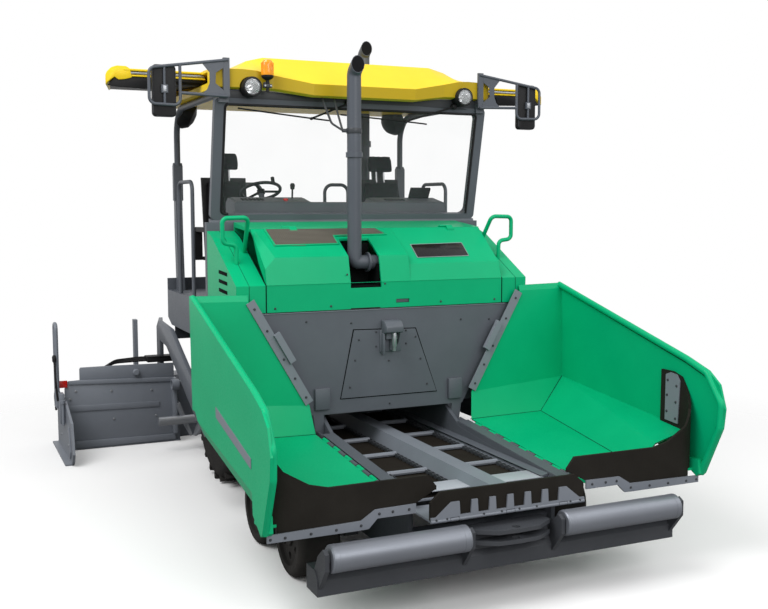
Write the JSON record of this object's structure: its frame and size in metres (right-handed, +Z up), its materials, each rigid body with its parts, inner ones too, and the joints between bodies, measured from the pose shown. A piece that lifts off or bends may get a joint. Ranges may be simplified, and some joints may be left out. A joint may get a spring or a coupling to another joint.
{
  "type": "asphalt paver",
  "caption": "Wheeled asphalt paver with a folding front hopper, slat conveyors, roofed driver's platform, augers and an extending screed on tow arms.",
  "frame": {"origin": "middle of the footprint on the ground", "axes": "+X forward to the hopper, +Y to the machine's left, +Z up"},
  "size_m": [6.3659, 4.364, 4.1091],
  "materials": {
    "green_paint": "gloss",
    "grey_paint": "satin",
    "dark_paint": "satin",
    "yellow_paint": "gloss",
    "bare_steel": "worn",
    "chromed_rod": "polished",
    "cast_metal": "matt",
    "flap_rubber": "matt",
    "tyre_rubber": "matt",
    "black_plastic": "matt",
    "grey_plastic": "matt",
    "lamp_plastic": "clear lens",
    "seat_cloth": "woven",
    "clear_glass": "clear"
  },
  "bodies": {
    "chassis": {"chassis": "grey_paint", "rocker_beams": "grey_paint", "conveyor_floor": "grey_paint", "conveyor_chains": "bare_steel", "front_wall": "grey_paint", "engine_block": "cast_metal", "body_panels": "green_paint", "stack_pipes": "dark_paint", "platform": "grey_paint", "console": "grey_plastic", "seat_frames": "black_plastic", "seat_cushions": "seat_cloth", "roof_posts": "grey_paint", "windscreen_glass": "clear_glass", "roof_shell": "yellow_paint", "roof_lamps": "lamp_plastic", "mirrors": "black_plastic", "handrails": "green_paint", "guard_rails": "grey_paint", "auger_carrier": "grey_paint"},
    "steering": {"steering_wheel": "black_plastic"},
    "apron": {"apron_flap": "flap_rubber", "apron_comb": "grey_paint"},
    "push_beam": {"push_beam": "grey_paint"},
    "lid": {"engine_lid": "green_paint"},
    "screed": {"tow_arms": "grey_paint", "screed_body": "grey_paint"},
    "lift_barrels": {"lift_barrels": "dark_paint"},
    "lift_rods": {"lift_rods": "chromed_rod"},
    "knuckle_front_left": {"knuckle_front_left": "cast_metal"},
    "wheel_front_left": {"wheel_front_left": "tyre_rubber"},
    "knuckle_middle_left": {"knuckle_middle_left": "cast_metal"},
    "wheel_middle_left": {"wheel_middle_left": "tyre_rubber"},
    "rear_wheel_left": {"tyre_rear_left": "tyre_rubber", "rim_rear_left": "grey_paint"},
    "wing_left": {"wing_left": "green_paint", "wing_flap_left": "flap_rubber", "wing_strip_left": "grey_paint"},
    "roller_left": {"push_roller_left": "bare_steel"},
    "door_left": {"side_door_left": "green_paint"},
    "awning_left": {"awning_left": "yellow_paint"},
    "extension_left": {"extension_left": "grey_paint", "end_gate_left": "grey_paint"},
    "auger_left": {"auger_left": "bare_steel"},
    "knuckle_front_right": {"knuckle_front_right": "cast_metal"},
    "wheel_front_right": {"wheel_front_right": "tyre_rubber"},
    "knuckle_middle_right": {"knuckle_middle_right": "cast_metal"},
    "wheel_middle_right": {"wheel_middle_right": "tyre_rubber"},
    "rear_wheel_right": {"tyre_rear_right": "tyre_rubber", "rim_rear_right": "grey_paint"},
    "wing_right": {"wing_right": "green_paint", "wing_flap_right": "flap_rubber", "wing_strip_right": "grey_paint"},
    "roller_right": {"push_roller_right": "bare_steel"},
    "door_right": {"side_door_right": "green_paint"},
    "awning_right": {"awning_right": "yellow_paint"},
    "extension_right": {"extension_right": "grey_paint", "end_gate_right": "grey_paint"},
    "auger_right": {"auger_right": "bare_steel"}
  },
  "joints": [
    {"name": "steer_front_left", "type": "hinge", "parent": "chassis", "child": "knuckle_front_left", "pos_m": [2, 0.8, 0.28], "axis": [0, 0, 1], "range_deg": [-20, 20]},
    {"name": "spin_front_left", "type": "hinge", "parent": "knuckle_front_left", "child": "wheel_front_left", "pos_m": [2, 1, 0.28], "axis": [0, 1, 0], "continuous": true},
    {"name": "steer_middle_left", "type": "hinge", "parent": "chassis", "child": "knuckle_middle_left", "pos_m": [1.25, 0.8, 0.28], "axis": [0, 0, 1], "range_deg": [-10, 10]},
    {"name": "spin_middle_left", "type": "hinge", "parent": "knuckle_middle_left", "child": "wheel_middle_left", "pos_m": [1.25, 1, 0.28], "axis": [0, 1, 0], "continuous": true},
    {"name": "spin_rear_left", "type": "hinge", "parent": "chassis", "child": "rear_wheel_left", "pos_m": [-0.59, 0.775, 0.68], "axis": [0, 1, 0], "continuous": true},
    {"name": "fold_wing_left", "type": "hinge", "parent": "chassis", "child": "wing_left", "pos_m": [1.336, 0.653, 0.791], "axis": [0.9972, 0, -0.0749], "range_deg": [0, 50]},
    {"name": "spin_roller_left", "type": "hinge", "parent": "push_beam", "child": "roller_left", "pos_m": [3.1, 0.8, 0.5], "axis": [0, 1, 0], "continuous": true},
    {"name": "open_door_left", "type": "hinge", "parent": "chassis", "child": "door_left", "pos_m": [0.376, 1.258, 1.5], "axis": [0, 0, 1], "range_deg": [0, 100]},
    {"name": "retract_awning_left", "type": "slide", "parent": "chassis", "child": "awning_left", "axis": [0, -1, 0], "range_m": [0, 0.67]},
    {"name": "retract_extension_left", "type": "slide", "parent": "screed", "child": "extension_left", "axis": [0, -1, 0], "range_m": [0, 0.82]},
    {"name": "spin_auger_left", "type": "hinge", "parent": "chassis", "child": "auger_left", "pos_m": [-1.8, 0, 0.33], "axis": [0, 1, 0], "continuous": true},
    {"name": "steer_front_right", "type": "hinge", "parent": "chassis", "child": "knuckle_front_right", "pos_m": [2, -0.8, 0.28], "axis": [0, 0, 1], "range_deg": [-20, 20]},
    {"name": "spin_front_right", "type": "hinge", "parent": "knuckle_front_right", "child": "wheel_front_right", "pos_m": [2, -1, 0.28], "axis": [0, 1, 0], "continuous": true},
    {"name": "steer_middle_right", "type": "hinge", "parent": "chassis", "child": "knuckle_middle_right", "pos_m": [1.25, -0.8, 0.28], "axis": [0, 0, 1], "range_deg": [-10, 10]},
    {"name": "spin_middle_right", "type": "hinge", "parent": "knuckle_middle_right", "child": "wheel_middle_right", "pos_m": [1.25, -1, 0.28], "axis": [0, 1, 0], "continuous": true},
    {"name": "spin_rear_right", "type": "hinge", "parent": "chassis", "child": "rear_wheel_right", "pos_m": [-0.59, -0.775, 0.68], "axis": [0, 1, 0], "continuous": true},
    {"name": "fold_wing_right", "type": "hinge", "parent": "chassis", "child": "wing_right", "pos_m": [1.336, -0.653, 0.791], "axis": [-0.9972, 0, 0.0749], "range_deg": [0, 50]},
    {"name": "spin_roller_right", "type": "hinge", "parent": "push_beam", "child": "roller_right", "pos_m": [3.1, -0.8, 0.5], "axis": [0, 1, 0], "continuous": true},
    {"name": "open_door_right", "type": "hinge", "parent": "chassis", "child": "door_right", "pos_m": [0.376, -1.258, 1.5], "axis": [0, 0, -1], "range_deg": [0, 100]},
    {"name": "retract_awning_right", "type": "slide", "parent": "chassis", "child": "awning_right", "axis": [0, 1, 0], "range_m": [0, 0.67]},
    {"name": "retract_extension_right", "type": "slide", "parent": "screed", "child": "extension_right", "axis": [0, 1, 0], "range_m": [0, 0.82]},
    {"name": "spin_auger_right", "type": "hinge", "parent": "chassis", "child": "auger_right", "pos_m": [-1.8, 0, 0.33], "axis": [0, 1, 0], "continuous": true},
    {"name": "turn_steering", "type": "hinge", "parent": "chassis", "child": "steering", "pos_m": [-0.115, -0.64, 2.66], "axis": [-0.4226, 0, 0.9063], "range_deg": [-360, 360]},
    {"name": "tip_apron", "type": "hinge", "parent": "chassis", "child": "apron", "pos_m": [3.026, 0, 0.604], "axis": [0, 1, 0], "range_deg": [0, 70]},
    {"name": "swing_push_beam", "type": "hinge", "parent": "chassis", "child": "push_beam", "pos_m": [2.77, 0, 0.35], "axis": [0, 0, 1], "range_deg": [-8, 8]},
    {"name": "open_lid", "type": "hinge", "parent": "chassis", "child": "lid", "pos_m": [0.794, 0, 2.364], "axis": [0, -1, 0], "range_deg": [0, 45]},
    {"name": "lift_screed", "type": "hinge", "parent": "chassis", "child": "screed", "pos_m": [0.45, 0, 0.75], "axis": [0, 1, 0], "range_deg": [0, 10]},
    {"name": "swing_lift_barrels", "type": "hinge", "parent": "chassis", "child": "lift_barrels", "pos_m": [-1.245, 0, 1.58], "axis": [0, 1, 0], "range_deg": [0, 19.6]},
    {"name": "draw_lift_rods", "type": "slide", "parent": "lift_barrels", "child": "lift_rods", "axis": [-0.8883, 0, -0.4593], "range_m": [-0.24, 0]}
  ],
  "couplings": [
    {"joint": "steer_middle_left", "follows": "steer_front_left", "ratio": 0.5},
    {"joint": "steer_front_right", "follows": "steer_front_left", "ratio": 1},
    {"joint": "steer_middle_right", "follows": "steer_front_left", "ratio": 0.5},
    {"joint": "turn_steering", "follows": "steer_front_left", "ratio": 18},
    {"joint": "swing_lift_barrels", "follows": "lift_screed", "ratio": 1.949},
    {"joint": "draw_lift_rods", "follows": "lift_screed", "m_per_rad": -1.3524}
  ]
}
